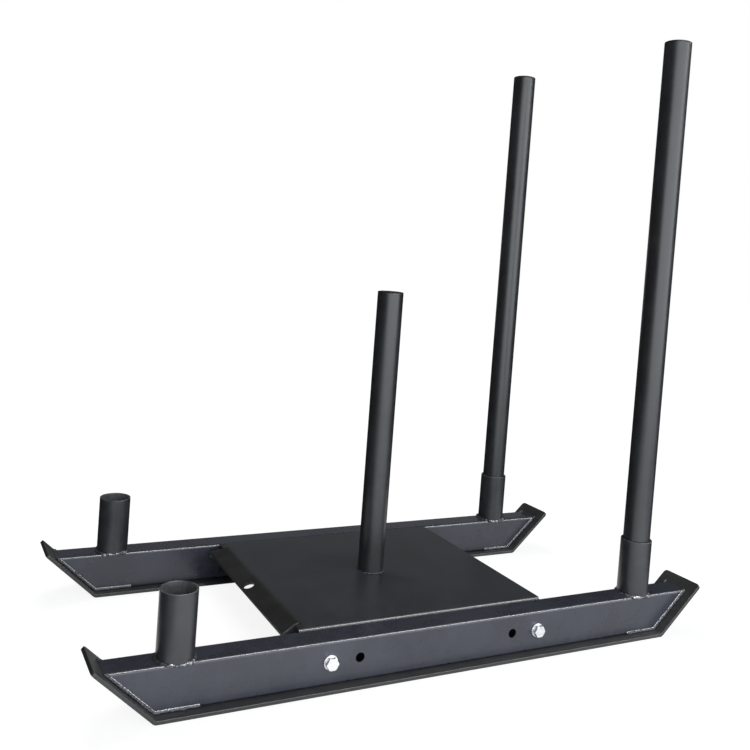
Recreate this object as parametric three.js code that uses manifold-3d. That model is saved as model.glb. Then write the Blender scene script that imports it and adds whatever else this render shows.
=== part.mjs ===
// Push sled: two mitred box-tube skis on bent skid plates, a folded deck bolted between them
// with a post for weight plates, four pole sockets and two lift-out push poles.
// Millimetres. +X points to the pushing end, +Y to the pusher's right, +Z up.
// The origin lies on the floor under the middle of the sled.
import * as THREE from 'three';
import { mergeVertices } from 'three/addons/utils/BufferGeometryUtils.js';
import Module from 'manifold-3d';

const wasm = await Module();
wasm.setup();

// Fits
const seatGap = 0.3;
const cutOverrun = 5;

// Skis: a box tube with mitred ends on each skid plate
const railTopLength = 1120;
const railWidth = 50;
const railHeight = 70;
const railWall = 3;
const railCornerRadius = 5;
const railSpacing = 480;
const mitreAngle = THREE.MathUtils.degToRad(43);
const skidWidth = 90;
const skidThickness = 6;
const skidTipLength = 23;
const skidBendRadius = 10;
const skidTipCornerRadius = 7;

// Sockets on the rails and the poles that stand in two of them
const socketClearance = 1;
const socketWall = 3;
const socketHeight = 104;
const frontSocketInset = 109;
const rearSocketInset = 115;
const poleDiameter = 50;
const poleWall = 2.5;
const poleLength = 1053;
const poleCapCrown = 4.5;

// Deck: folded sheet with a flange down each side and a drooping, flared front lip with a web under each side
const deckThickness = 4;
const deckBendRadius = 2;
const deckProud = 2;
const deckFlangeMargin = 23;
const deckFrontReach = 238;
const deckRearReach = 245;
const lipNotchDepth = 12;
const lipBendRadius = 18;
const lipLength = 31;
const lipAngle = THREE.MathUtils.degToRad(18);
const lipSideInset = 26;
const lipFlare = 11;
const lipWebDepth = 16;
const lipReliefWidth = 5;
const towHoleDiameter = 20;
const towHoleInset = 13;

// Weight post on the deck
const postShift = -3;
const postDiameter = 50;
const postWall = 3;
const postLength = 541;
const postCapCrown = 3;

// End caps share one form: a rounded head over the tube's end and a plug inside it
const capEdgeRadius = 2.5;
const capPlugDepth = 14;
const capPlugWall = 2;

// Bolts through rail and flange, with a spare hole inboard of each
const boltDiameter = 12;
const boltHoleClearance = 2;
const frontBoltInset = 35;
const rearBoltInset = 42;
const spareHoleSpacing = 53;
const boltHeight = 37;
const hexShoulder = 3.5;
const boltHeadHeight = 8;
const boltEndLength = 5;
const boltEndChamfer = 1.5;
const washerClearance = 0.5;
const washerRim = 5.5;
const washerThickness = 2.5;
const nutHeight = 10;
const hexChamferHeight = 1.2;

// How finely round forms are faceted
const tubeSides = 36;
const holeSides = 24;
const cornerSteps = 4;
const bendSteps = 6;

// Places that follow from the sizes above
const railTop = skidThickness + railHeight;
const railTopHalf = railTopLength / 2;
const mitreRun = railHeight / Math.tan(mitreAngle);
const railBottomHalf = railTopHalf - mitreRun;
const railInnerFace = railSpacing / 2 - railWidth / 2;
const railOuterFace = railSpacing / 2 + railWidth / 2;
const frontSocketX = frontSocketInset - railTopHalf;
const rearSocketX = railTopHalf - rearSocketInset;
const socketRadius = poleDiameter / 2 + socketClearance + socketWall;
const deckTop = railTop + deckProud;
const deckFlangeDepth = deckTop - skidThickness - boltHeight + deckFlangeMargin;
const lipBendReach = deckFrontReach - lipNotchDepth;
const boltHoleRadius = boltDiameter / 2 + boltHoleClearance;
const washerHoleRadius = boltDiameter / 2 + washerClearance;
const hexAcrossFlats = boltDiameter + 2 * hexShoulder;
const frontBoltX = postShift - deckFrontReach + frontBoltInset;
const rearBoltX = postShift + deckRearReach - rearBoltInset;
const boltHoleXs = [frontBoltX, frontBoltX + spareHoleSpacing, rearBoltX - spareHoleSpacing, rearBoltX];
const sides = [{ name: 'left', sign: -1 }, { name: 'right', sign: 1 }];

// Finishes
const finish = (color, roughness, metalness) => new THREE.MeshStandardMaterial({ color, roughness, metalness });
const blackCoat = finish(0x2b2b2e, 0.45, 0.2);
const deckCoat = finish(0x242426, 0.4, 0.2);
const poleCoat = finish(0x2e2e32, 0.38, 0.25);
const capPlastic = finish(0x151516, 0.5, 0);
const zincPlate = finish(0xd5d8dc, 0.3, 0.9);

// Axis swaps that keep every coordinate exact
const unitX = new THREE.Vector3(1, 0, 0);
const unitY = new THREE.Vector3(0, 1, 0);
const unitZ = new THREE.Vector3(0, 0, 1);
const alongX = new THREE.Matrix4().makeBasis(unitY, unitZ, unitX);
const alongY = new THREE.Matrix4().makeBasis(unitX, unitZ, unitY.clone().negate());
const lathedUp = alongY;

const sled = new THREE.Group();

function addPiece(name, geometry, material, x, y, z, turn = 0) {
  const mesh = new THREE.Mesh(geometry, material);
  mesh.name = name;
  mesh.position.set(x, y, z);
  mesh.rotation.z = turn;
  sled.add(mesh);
  return mesh;
}

// Joins and cuts
function toSolid(geometry) {
  const bare = geometry.clone();
  bare.deleteAttribute('normal');
  bare.deleteAttribute('uv');
  const merged = mergeVertices(bare);
  return new wasm.Manifold(new wasm.Mesh({
    numProp: 3,
    vertProperties: new Float32Array(merged.attributes.position.array),
    triVerts: new Uint32Array(merged.index.array),
  }));
}

function toGeometry(solid) {
  const mesh = solid.getMesh();
  const geometry = new THREE.BufferGeometry();
  geometry.setAttribute('position', new THREE.BufferAttribute(new Float32Array(mesh.vertProperties), 3));
  geometry.setIndex(new THREE.BufferAttribute(new Uint32Array(mesh.triVerts), 1));
  return geometry;
}

// Plain solids: outlines drawn in a plane and pushed along the axis square to it
function extruded(shape, length, axisSwap, steps = cornerSteps) {
  const geometry = new THREE.ExtrudeGeometry(shape, { depth: length, bevelEnabled: false, curveSegments: steps });
  geometry.translate(0, 0, -length / 2);
  return geometry.applyMatrix4(axisSwap);
}

function lathed(points, sideCount) {
  return new THREE.LatheGeometry(points.map(([r, z]) => new THREE.Vector2(r, z)), sideCount).applyMatrix4(lathedUp);
}

function tube(outerRadius, innerRadius, length) {
  return lathed([
    [innerRadius, 0], [outerRadius, 0], [outerRadius, length], [innerRadius, length], [innerRadius, 0],
  ], tubeSides);
}

function boltDrill(length, x, z) {
  const drill = new THREE.CylinderGeometry(boltHoleRadius, boltHoleRadius, length, holeSides);
  return toSolid(drill.translate(x, 0, z));
}

function block(lowX, highX, width, lowZ, highZ) {
  const box = new THREE.BoxGeometry(highX - lowX, width, highZ - lowZ);
  return toSolid(box.translate((lowX + highX) / 2, 0, (lowZ + highZ) / 2));
}

function roundedRectangle(outline, halfWidth, low, high, radius) {
  outline.moveTo(-halfWidth + radius, low);
  outline.lineTo(halfWidth - radius, low);
  outline.absarc(halfWidth - radius, low + radius, radius, -Math.PI / 2, 0, false);
  outline.lineTo(halfWidth, high - radius);
  outline.absarc(halfWidth - radius, high - radius, radius, 0, Math.PI / 2, false);
  outline.lineTo(-halfWidth + radius, high);
  outline.absarc(-halfWidth + radius, high - radius, radius, Math.PI / 2, Math.PI, false);
  outline.lineTo(-halfWidth, low + radius);
  outline.absarc(-halfWidth + radius, low + radius, radius, Math.PI, Math.PI * 1.5, false);
  return outline;
}

// Rail: its underside is at z = 0, its ends lie a seat gap inside the skid plate's slopes
function railGeometry() {
  const section = roundedRectangle(new THREE.Shape(), railWidth / 2, 0, railHeight, railCornerRadius);
  const boreRadius = Math.max(railCornerRadius - railWall, railWall / 2);
  const bore = roundedRectangle(new THREE.Path(), railWidth / 2 - railWall, railWall, railHeight - railWall, boreRadius);
  section.holes.push(bore);
  const endGap = seatGap / Math.sin(mitreAngle);
  const overrunX = cutOverrun / Math.tan(mitreAngle);
  const sideView = new THREE.Shape([
    new THREE.Vector2(-railBottomHalf + endGap + overrunX, -cutOverrun),
    new THREE.Vector2(railBottomHalf - endGap - overrunX, -cutOverrun),
    new THREE.Vector2(railTopHalf - endGap + overrunX, railHeight + cutOverrun),
    new THREE.Vector2(-railTopHalf + endGap - overrunX, railHeight + cutOverrun),
  ]);
  const length = railTopLength + cutOverrun;
  let rail = toSolid(extruded(section, length, alongX))
    .intersect(toSolid(extruded(sideView, railWidth + cutOverrun, alongY)));
  for (const x of boltHoleXs) {
    rail = rail.subtract(boltDrill(railWidth + cutOverrun, x, boltHeight));
  }
  return toGeometry(rail);
}

// Skid plate: flat under the rail, bent up along both mitres and on past the rail's top
function skidGeometry() {
  const slopeX = Math.cos(mitreAngle);
  const slopeZ = Math.sin(mitreAngle);
  const innerEndX = railTopHalf + skidTipLength * slopeX;
  const innerEndZ = railTop + skidTipLength * slopeZ;
  const outerEndX = innerEndX + skidThickness * slopeZ;
  const outerEndZ = innerEndZ - skidThickness * slopeX;
  const bendStartX = railBottomHalf + (skidThickness - skidBendRadius) * Math.tan(mitreAngle / 2);
  const profile = new THREE.Shape();
  profile.moveTo(-bendStartX, 0);
  profile.lineTo(bendStartX, 0);
  profile.absarc(bendStartX, skidBendRadius, skidBendRadius, -Math.PI / 2, mitreAngle - Math.PI / 2, false);
  profile.lineTo(outerEndX, outerEndZ);
  profile.lineTo(innerEndX, innerEndZ);
  profile.lineTo(railBottomHalf, skidThickness);
  profile.lineTo(-railBottomHalf, skidThickness);
  profile.lineTo(-innerEndX, innerEndZ);
  profile.lineTo(-outerEndX, outerEndZ);
  profile.absarc(-bendStartX, skidBendRadius, skidBendRadius, Math.PI * 1.5 - mitreAngle, Math.PI * 1.5, false);
  const plan = roundedRectangle(new THREE.Shape(), outerEndX, -skidWidth / 2, skidWidth / 2, skidTipCornerRadius);
  const planCutter = new THREE.ExtrudeGeometry(plan, {
    depth: outerEndZ + 2 * cutOverrun, bevelEnabled: false, curveSegments: cornerSteps,
  }).translate(0, 0, -cutOverrun);
  const plate = toSolid(extruded(profile, skidWidth + cutOverrun, alongY, bendSteps)).intersect(toSolid(planCutter));
  return toGeometry(plate);
}

// Deck: z = 0 is its top face and x = 0 the weight post's axis
function deckGeometry() {
  const halfWidth = railInnerFace - seatGap;
  const outerRadius = deckThickness + deckBendRadius;
  const channel = new THREE.Shape();
  channel.moveTo(halfWidth, -deckFlangeDepth);
  channel.lineTo(halfWidth, -outerRadius);
  channel.absarc(halfWidth - outerRadius, -outerRadius, outerRadius, 0, Math.PI / 2, false);
  channel.lineTo(-halfWidth + outerRadius, 0);
  channel.absarc(-halfWidth + outerRadius, -outerRadius, outerRadius, Math.PI / 2, Math.PI, false);
  channel.lineTo(-halfWidth, -deckFlangeDepth);
  channel.lineTo(-halfWidth + deckThickness, -deckFlangeDepth);
  channel.lineTo(-halfWidth + deckThickness, -outerRadius);
  channel.absarc(-halfWidth + outerRadius, -outerRadius, deckBendRadius, Math.PI, Math.PI / 2, true);
  channel.lineTo(halfWidth - outerRadius, -deckThickness);
  channel.absarc(halfWidth - outerRadius, -outerRadius, deckBendRadius, Math.PI / 2, 0, true);
  channel.lineTo(halfWidth - deckThickness, -deckFlangeDepth);
  const channelShape = extruded(channel, deckFrontReach + deckRearReach, alongX);
  channelShape.translate((deckRearReach - deckFrontReach) / 2, 0, 0);

  const lipWidth = 2 * (halfWidth - lipSideInset);
  const notch = block(-deckFrontReach - cutOverrun, -lipBendReach, lipWidth + 2 * lipReliefWidth,
    -deckThickness - cutOverrun, cutOverrun);
  const bendCentre = -lipBendRadius;
  const innerRadius = lipBendRadius - deckThickness;
  const bendEndX = -lipBendReach - lipBendRadius * Math.sin(lipAngle);
  const bendEndZ = bendCentre + lipBendRadius * Math.cos(lipAngle);
  const tipX = bendEndX - lipLength * Math.cos(lipAngle);
  const tipZ = bendEndZ - lipLength * Math.sin(lipAngle);
  const lip = new THREE.Shape();
  lip.moveTo(-lipBendReach + deckThickness, 0);
  lip.lineTo(-lipBendReach, 0);
  lip.absarc(-lipBendReach, bendCentre, lipBendRadius, Math.PI / 2, Math.PI / 2 + lipAngle, false);
  lip.lineTo(tipX, tipZ);
  lip.lineTo(tipX + deckThickness * Math.sin(lipAngle), tipZ - deckThickness * Math.cos(lipAngle));
  lip.absarc(-lipBendReach, bendCentre, innerRadius, Math.PI / 2 + lipAngle, Math.PI / 2, true);
  lip.lineTo(-lipBendReach + deckThickness, -deckThickness);
  const web = new THREE.Shape();
  web.moveTo(-lipBendReach, 0);
  web.absarc(-lipBendReach, bendCentre, lipBendRadius, Math.PI / 2, Math.PI / 2 + lipAngle, false);
  web.lineTo(tipX, tipZ);
  web.lineTo(tipX, -lipWebDepth);
  web.lineTo(-lipBendReach, -lipWebDepth);

  const flareSlope = lipFlare / (-lipBendReach - tipX);
  const overrunHalf = lipWidth / 2 + lipFlare + cutOverrun * flareSlope;
  const lipPlan = (inset) => {
    const plan = new THREE.Shape([
      new THREE.Vector2(-lipBendReach + deckThickness, lipWidth / 2 - inset),
      new THREE.Vector2(-lipBendReach, lipWidth / 2 - inset),
      new THREE.Vector2(tipX - cutOverrun, overrunHalf - inset),
      new THREE.Vector2(tipX - cutOverrun, -overrunHalf + inset),
      new THREE.Vector2(-lipBendReach, -lipWidth / 2 + inset),
      new THREE.Vector2(-lipBendReach + deckThickness, -lipWidth / 2 + inset),
    ]);
    const height = lipWebDepth + 2 * cutOverrun;
    const prism = new THREE.ExtrudeGeometry(plan, { depth: height, bevelEnabled: false });
    return toSolid(prism.translate(0, 0, -lipWebDepth - cutOverrun));
  };
  const wide = 2 * (overrunHalf + cutOverrun);
  const flaredLip = toSolid(extruded(lip, wide, alongY, bendSteps)).intersect(lipPlan(0));
  const webs = toSolid(extruded(web, wide, alongY, bendSteps)).intersect(lipPlan(0)).subtract(lipPlan(deckThickness));

  const towDrill = new THREE.CylinderGeometry(towHoleDiameter / 2, towHoleDiameter / 2,
    deckThickness + 2 * cutOverrun, holeSides).applyMatrix4(lathedUp);
  towDrill.rotateY(-lipAngle);
  towDrill.translate(tipX + towHoleInset * Math.cos(lipAngle), 0, tipZ + towHoleInset * Math.sin(lipAngle));

  let deck = toSolid(channelShape).subtract(notch).add(flaredLip).add(webs).subtract(toSolid(towDrill));
  const drillLength = 2 * (halfWidth + cutOverrun);
  for (const x of boltHoleXs) {
    deck = deck.subtract(boltDrill(drillLength, x - postShift, skidThickness + boltHeight - deckTop));
  }
  return toGeometry(deck);
}

// End cap: z = 0 is the end of the tube that it closes
function capGeometry(diameter, wall, crown) {
  const radius = diameter / 2;
  const plugRadius = radius - wall - seatGap;
  const edge = Math.min(capEdgeRadius, crown);
  const roundEdge = [];
  for (let step = 0; step <= cornerSteps; step += 1) {
    const angle = (Math.PI / 2) * (step / cornerSteps);
    roundEdge.push([radius - edge + edge * Math.cos(angle), crown - edge + edge * Math.sin(angle)]);
  }
  return lathed([
    [0, 0],
    [plugRadius - capPlugWall, 0],
    [plugRadius - capPlugWall, -capPlugDepth],
    [plugRadius, -capPlugDepth],
    [plugRadius, seatGap],
    [radius, seatGap],
    ...roundEdge,
    [0, crown],
  ], tubeSides);
}

// Fasteners lie along +Y, into the sled, with their bearing face at y = 0
function hexPrism(height) {
  const cornerRadius = hexAcrossFlats / Math.sqrt(3);
  const corners = [];
  for (let corner = 0; corner < 6; corner += 1) {
    const angle = (Math.PI / 3) * corner;
    corners.push(new THREE.Vector2(cornerRadius * Math.cos(angle), cornerRadius * Math.sin(angle)));
  }
  return toSolid(extruded(new THREE.Shape(corners), height, alongY));
}

function chamferedHex(height) {
  const cornerRadius = hexAcrossFlats / Math.sqrt(3);
  const faceRadius = hexAcrossFlats / 2;
  const rim = height / 2 - hexChamferHeight;
  const cone = new THREE.LatheGeometry([
    new THREE.Vector2(0, -height / 2),
    new THREE.Vector2(faceRadius, -height / 2),
    new THREE.Vector2(cornerRadius, -rim),
    new THREE.Vector2(cornerRadius, rim),
    new THREE.Vector2(faceRadius, height / 2),
    new THREE.Vector2(0, height / 2),
  ], holeSides);
  return hexPrism(height).intersect(toSolid(cone));
}

function boltGeometry(gripLength) {
  const shankLength = gripLength + nutHeight + boltEndLength;
  const radius = boltDiameter / 2;
  const shank = new THREE.LatheGeometry([
    new THREE.Vector2(0, -boltHeadHeight / 2),
    new THREE.Vector2(radius, -boltHeadHeight / 2),
    new THREE.Vector2(radius, shankLength - boltEndChamfer),
    new THREE.Vector2(radius - boltEndChamfer, shankLength),
    new THREE.Vector2(0, shankLength),
  ], holeSides);
  const head = chamferedHex(boltHeadHeight).translate([0, -boltHeadHeight / 2, 0]);
  return toGeometry(head.add(toSolid(shank)));
}

function washerGeometry() {
  const rimRadius = washerHoleRadius + washerRim;
  return new THREE.LatheGeometry([
    new THREE.Vector2(washerHoleRadius, 0),
    new THREE.Vector2(rimRadius, 0),
    new THREE.Vector2(rimRadius, washerThickness),
    new THREE.Vector2(washerHoleRadius, washerThickness),
    new THREE.Vector2(washerHoleRadius, 0),
  ], holeSides);
}

function nutGeometry() {
  const boreRadius = boltDiameter / 2 + seatGap;
  const bore = new THREE.CylinderGeometry(boreRadius, boreRadius, nutHeight + cutOverrun, holeSides);
  const nut = chamferedHex(nutHeight).subtract(toSolid(bore));
  return toGeometry(nut.translate([0, nutHeight / 2, 0]));
}

// Skis
for (const { name, sign } of sides) {
  const railY = sign * railSpacing / 2;
  addPiece(`${name}_skid_plate`, skidGeometry(), blackCoat, 0, railY, 0);
  addPiece(`${name}_rail`, railGeometry(), blackCoat, 0, railY, skidThickness);
}

// Sockets, and a pole with its cap in each rear one
for (const { name, sign } of sides) {
  const railY = sign * railSpacing / 2;
  for (const [end, x] of [['front', frontSocketX], ['rear', rearSocketX]]) {
    const socket = tube(socketRadius, socketRadius - socketWall, socketHeight);
    addPiece(`${name}_${end}_socket`, socket, blackCoat, x, railY, railTop);
  }
  const poleFoot = railTop + seatGap;
  const pole = tube(poleDiameter / 2, poleDiameter / 2 - poleWall, poleLength);
  const poleCap = capGeometry(poleDiameter, poleWall, poleCapCrown);
  addPiece(`${name}_push_pole`, pole, poleCoat, rearSocketX, railY, poleFoot);
  addPiece(`${name}_pole_cap`, poleCap, capPlastic, rearSocketX, railY, poleFoot + poleLength);
}

// Deck and weight post
addPiece('deck_plate', deckGeometry(), deckCoat, postShift, 0, deckTop);
const post = tube(postDiameter / 2, postDiameter / 2 - postWall, postLength);
addPiece('weight_post', post, poleCoat, postShift, 0, deckTop);
addPiece('weight_post_cap', capGeometry(postDiameter, postWall, postCapCrown), capPlastic,
  postShift, 0, deckTop + postLength);

// Bolt, washers and nut at each outer hole; a distance runs inwards from the rail's outer face
const headWasherSeat = -seatGap - washerThickness;
const headSeat = headWasherSeat - seatGap;
const nutWasherSeat = railWidth + seatGap + deckThickness + seatGap;
const nutSeat = nutWasherSeat + washerThickness + seatGap;
for (const { name, sign } of sides) {
  const turn = sign > 0 ? Math.PI : 0;
  const placeY = (distance) => sign * (railOuterFace - distance);
  for (const [end, x] of [['front', frontBoltX], ['rear', rearBoltX]]) {
    const z = skidThickness + boltHeight;
    addPiece(`${name}_${end}_bolt`, boltGeometry(nutSeat - headSeat), zincPlate, x, placeY(headSeat), z, turn);
    addPiece(`${name}_${end}_head_washer`, washerGeometry(), zincPlate, x, placeY(headWasherSeat), z, turn);
    addPiece(`${name}_${end}_nut_washer`, washerGeometry(), zincPlate, x, placeY(nutWasherSeat), z, turn);
    addPiece(`${name}_${end}_nut`, nutGeometry(), zincPlate, x, placeY(nutSeat), z, turn);
  }
}

export default sled;
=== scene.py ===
import math
import random
import bpy
from mathutils import Matrix, Vector


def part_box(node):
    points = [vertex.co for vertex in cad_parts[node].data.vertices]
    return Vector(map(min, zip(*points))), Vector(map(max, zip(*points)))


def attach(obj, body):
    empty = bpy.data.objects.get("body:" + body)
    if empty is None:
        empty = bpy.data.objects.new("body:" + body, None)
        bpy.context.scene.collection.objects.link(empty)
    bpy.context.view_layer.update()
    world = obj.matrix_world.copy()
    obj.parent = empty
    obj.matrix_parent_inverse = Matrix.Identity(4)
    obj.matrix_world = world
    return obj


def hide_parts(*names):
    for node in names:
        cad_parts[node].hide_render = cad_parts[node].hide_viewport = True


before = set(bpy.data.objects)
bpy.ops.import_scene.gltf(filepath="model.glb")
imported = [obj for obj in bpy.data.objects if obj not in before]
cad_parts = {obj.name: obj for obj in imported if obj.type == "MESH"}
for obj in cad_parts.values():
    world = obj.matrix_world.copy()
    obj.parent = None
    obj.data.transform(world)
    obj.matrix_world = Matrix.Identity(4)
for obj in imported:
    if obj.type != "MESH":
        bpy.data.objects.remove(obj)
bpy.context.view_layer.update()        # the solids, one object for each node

skis = {"left": -1, "right": 1}        # which way each ski lies from the middle
skiMiddle = sum(corner.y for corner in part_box("right_rail")) / 2        # how far its middle lies from there


# camera

cameraLook = {
    "place": (-0.82384, -1.51379, 0.69868),
    "turn": (87.9122, -4.1775, -26.6948),
    "lens": 42.902,
    "shift": (0.01178, -0.12393),
}


def setCamera(look):
    bpy.ops.object.camera_add(location=look["place"], rotation=[math.radians(a) for a in look["turn"]])
    eye = bpy.context.active_object
    eye.name = "photoCamera"
    eye.data.sensor_width = 36
    eye.data.lens = look["lens"]
    eye.data.shift_x, eye.data.shift_y = look["shift"]
    eye.data.clip_start, eye.data.clip_end = 0.01, 100
    bpy.context.scene.camera = eye


setCamera(cameraLook)
bpy.context.scene.view_settings.view_transform = "Standard"
print("camera set")


# shader maths: a Wire is one output of a node, and a Graph adds nodes

class Wire:
    def __init__(self, graph, socket):
        self.graph, self.socket = graph, socket

    def combine(self, operation, first, second):
        return self.graph.add("ShaderNodeMath", {"operation": operation}, {0: first, 1: second})

    def __add__(self, other):
        return self.combine("ADD", self, other)

    def __radd__(self, other):
        return self.combine("ADD", other, self)

    def __sub__(self, other):
        return self.combine("SUBTRACT", self, other)

    def __rsub__(self, other):
        return self.combine("SUBTRACT", other, self)

    def __mul__(self, other):
        return self.combine("MULTIPLY", self, other)

    def __rmul__(self, other):
        return self.combine("MULTIPLY", other, self)

    def __lt__(self, other):
        return self.combine("LESS_THAN", self, other)

    def __gt__(self, other):
        return self.combine("GREATER_THAN", self, other)

    def __abs__(self):
        return self.combine("ABSOLUTE", self, 0)

    def least(self, other):
        return self.combine("MINIMUM", self, other)

    def most(self, other):
        return self.combine("MAXIMUM", self, other)

    def fade(self, low, high, start=0, end=1):        # a soft step from start at low to end at high
        return self.graph.add("ShaderNodeMapRange", {"interpolation_type": "SMOOTHSTEP"},
                              {0: self, 1: low, 2: high, 3: start, 4: end})


class Graph:
    def __init__(self, tree):
        self.tree = tree
        self.tree.nodes.clear()

    def add(self, kind, settings, sockets, output=0):
        node = self.tree.nodes.new(kind)
        for name, value in settings.items():
            setattr(node, name, value)
        for name, value in sockets.items():
            if isinstance(value, Wire):
                self.tree.links.new(value.socket, node.inputs[name])
            elif isinstance(value, tuple) and node.inputs[name].type == "RGBA":
                node.inputs[name].default_value = (*value, 1)
            else:
                node.inputs[name].default_value = value
        return Wire(self, node.outputs[output]) if node.outputs else None

    def mix(self, share, first, second):        # colours
        return self.add("ShaderNodeMix", {"data_type": "RGBA"}, {0: share, 6: first, 7: second}, 2)

    def place(self):
        return self.add("ShaderNodeTexCoord", {}, {}, "Object")

    def split(self, vector):
        return [self.add("ShaderNodeSeparateXYZ", {}, {0: vector}, axis) for axis in range(3)]

    def stretch(self, vector, scale):
        return self.add("ShaderNodeMapping", {}, {"Vector": vector, "Scale": scale})

    def noise(self, vector, scale, detail=3, roughness=0.55):
        return self.add("ShaderNodeTexNoise", {}, {"Vector": vector, "Scale": scale, "Detail": detail,
                                                   "Roughness": roughness})

    def bump(self, height, strength, distance):
        return self.add("ShaderNodeBump", {}, {"Strength": strength, "Distance": distance, "Height": height})

    def surface(self, sockets):
        shader = self.add("ShaderNodeBsdfPrincipled", {}, sockets)
        self.add("ShaderNodeOutputMaterial", {}, {"Surface": shader})


def newPaint(name):
    paint = bpy.data.materials.new(name)
    paint.use_nodes = True
    return paint, Graph(paint.node_tree)


# stage and light

stageLook = {
    "floorSize": 40,
    "floorDrop": 0.0004,        # keeps the floor just below the skid plates
    "floorPaint": 0.25,        # the share of white that takes shadow
    "nearGlow": 0.88,        # the floor's own light round the sled
    "farGlow": 1.0,        # and further out, where it meets the white backdrop
    "glowReach": (0.8, 3.0),        # from the end of the near glow to the start of the far one
    "floorBounce": 0.8,        # the floor's colour for the light that it throws back on the sled
    "skyFill": 0.2,        # the light of the air
    "backdrop": 1.0,        # white
}

coolLight, whiteLight = (0.89, 0.94, 1.0), (1.0, 1.0, 1.0)

lampLook = {        # place, what it points at, size, power, what it lights, and colour
    "frontWindow": ((0.1, -2.9, 0.95), (0.0, 0.0, 0.35), (5.6, 1.9), 91, "both", coolLight),
    "sideWindow": ((3.1, -2.2, 0.95), (0.3, -0.1, 0.35), (1.6, 1.9), 21, "both", coolLight),
    "topSoftbox": ((-0.1, 1.2, 2.0), (0.0, 0.1, 0.1), (1.4, 1.4), 20, "colour", whiteLight),
    "edgeStrip": ((1.45, -1.37, 2.3), (1.45, -0.2, 0.1), (4.2, 0.3), 200, "gloss", whiteLight),
    "floorGlow": ((-0.3, -1.5, 0.004), (-0.3, -1.5, 1.0), (4.6, 1.9), 24, "gloss", coolLight),
    "nearFloorGlow": ((-0.65, -0.47, 0.004), (-0.65, -0.47, 1.0), (1.2, 0.3), 0.5, "gloss", coolLight),
    "backGlow": ((1.0, 2.9, 0.6), (0.0, 0.0, 0.1), (2.8, 0.6), 1.9, "gloss", whiteLight),
}

flagLook = {        # dark studio cards that only reflections see: centre, facing, size
    "leftFlag": ((-3.2, 0.6, 1.4), (1, 0, 0), (5.4, 3.4)),
    "rightFlag": ((3.2, 0.6, 1.4), (-1, 0, 0), (5.4, 3.4)),
    "backFlag": ((0.0, 3.3, 2.2), (0, -1, 0), (6.4, 5.0)),
    "topFlag": ((0.0, 1.4, 3.2), (0, 0, -1), (6.4, 4.0)),
    "leftFloorCard": ((-2.0, 0.6, 0.0), (0, 0, 1), (2.4, 5.4)),
    "rightFloorCard": ((2.0, 0.6, 0.0), (0, 0, 1), (2.4, 5.4)),
    "backFloorCard": ((0.0, 1.82, 0.0), (0, 0, 1), (1.6, 3.0)),
    "frontLeftCard": ((-1.1, 0.1, 0.0), (0, 0, 1), (0.9, 1.6)),
    # painted shadow: a dark card under the deck, standing in for the shade on the floor there
    "underDeckShadowCard": ((-0.015, 0.0, 0.0), (0, 0, 1), (0.51, 0.42)),
}


def deselectAll():
    if bpy.context.mode != "OBJECT":
        bpy.ops.object.mode_set(mode="OBJECT")
    bpy.ops.object.select_all(action="DESELECT")


def backgroundRays(graph):        # 1 for the rays that see the backdrop
    seen = [graph.add("ShaderNodeLightPath", {}, {}, name)
            for name in ("Is Camera Ray", "Is Glossy Ray", "Is Transmission Ray")]
    return (seen[0] + seen[1] + seen[2]).least(1)


def makeWorld(look):
    world = bpy.data.worlds.new("studioAir")
    bpy.context.scene.world = world
    world.use_nodes = True
    graph = Graph(world.node_tree)
    fill = graph.add("ShaderNodeBackground", {}, {"Color": (1, 1, 1), "Strength": look["skyFill"]})
    backdrop = graph.add("ShaderNodeBackground", {}, {"Color": (1, 1, 1), "Strength": look["backdrop"]})
    air = graph.add("ShaderNodeMixShader", {}, {0: backgroundRays(graph), 1: fill, 2: backdrop})
    graph.add("ShaderNodeOutputWorld", {}, {"Surface": air})


def makeFloor(look):
    deselectAll()
    bpy.ops.mesh.primitive_plane_add(size=look["floorSize"], location=(0, 0, -look["floorDrop"]))
    floor = bpy.context.active_object
    floor.name = "paleFloor"
    paint, graph = newPaint("paleFloorPaint")
    bounce = graph.add("ShaderNodeBsdfDiffuse", {}, {"Color": (look["floorBounce"],) * 3})
    matte = graph.add("ShaderNodeBsdfDiffuse", {}, {"Color": (look["floorPaint"],) * 3})
    reach = graph.add("ShaderNodeVectorMath", {"operation": "LENGTH"}, {0: graph.place()}, "Value")
    glow = graph.add("ShaderNodeEmission", {}, {
        "Color": graph.mix(reach.fade(*look["glowReach"]), (look["nearGlow"],) * 3, (look["farGlow"],) * 3)})
    pale = graph.add("ShaderNodeAddShader", {}, {0: matte, 1: glow})
    top = graph.add("ShaderNodeMixShader", {}, {0: backgroundRays(graph), 1: bounce, 2: pale})
    below = graph.add("ShaderNodeBsdfTransparent", {}, {})
    back = graph.add("ShaderNodeNewGeometry", {}, {}, "Backfacing")
    graph.add("ShaderNodeOutputMaterial", {},
              {"Surface": graph.add("ShaderNodeMixShader", {}, {0: back, 1: top, 2: below})})
    floor.data.materials.append(paint)


def makeLamps(lamps):
    for name, (place, aim, size, power, lights, colour) in lamps.items():
        facing = (Vector(aim) - Vector(place)).to_track_quat("-Z", "Y").to_euler()
        bpy.ops.object.light_add(type="AREA", location=place, rotation=facing)
        lamp = bpy.context.active_object
        lamp.name = name
        lamp.data.shape = "RECTANGLE"
        lamp.data.size, lamp.data.size_y = size
        lamp.data.energy = power
        lamp.data.color = colour
        lamp.visible_camera = False
        lamp.visible_diffuse = lights != "gloss"
        lamp.visible_glossy = lights != "colour"


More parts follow.
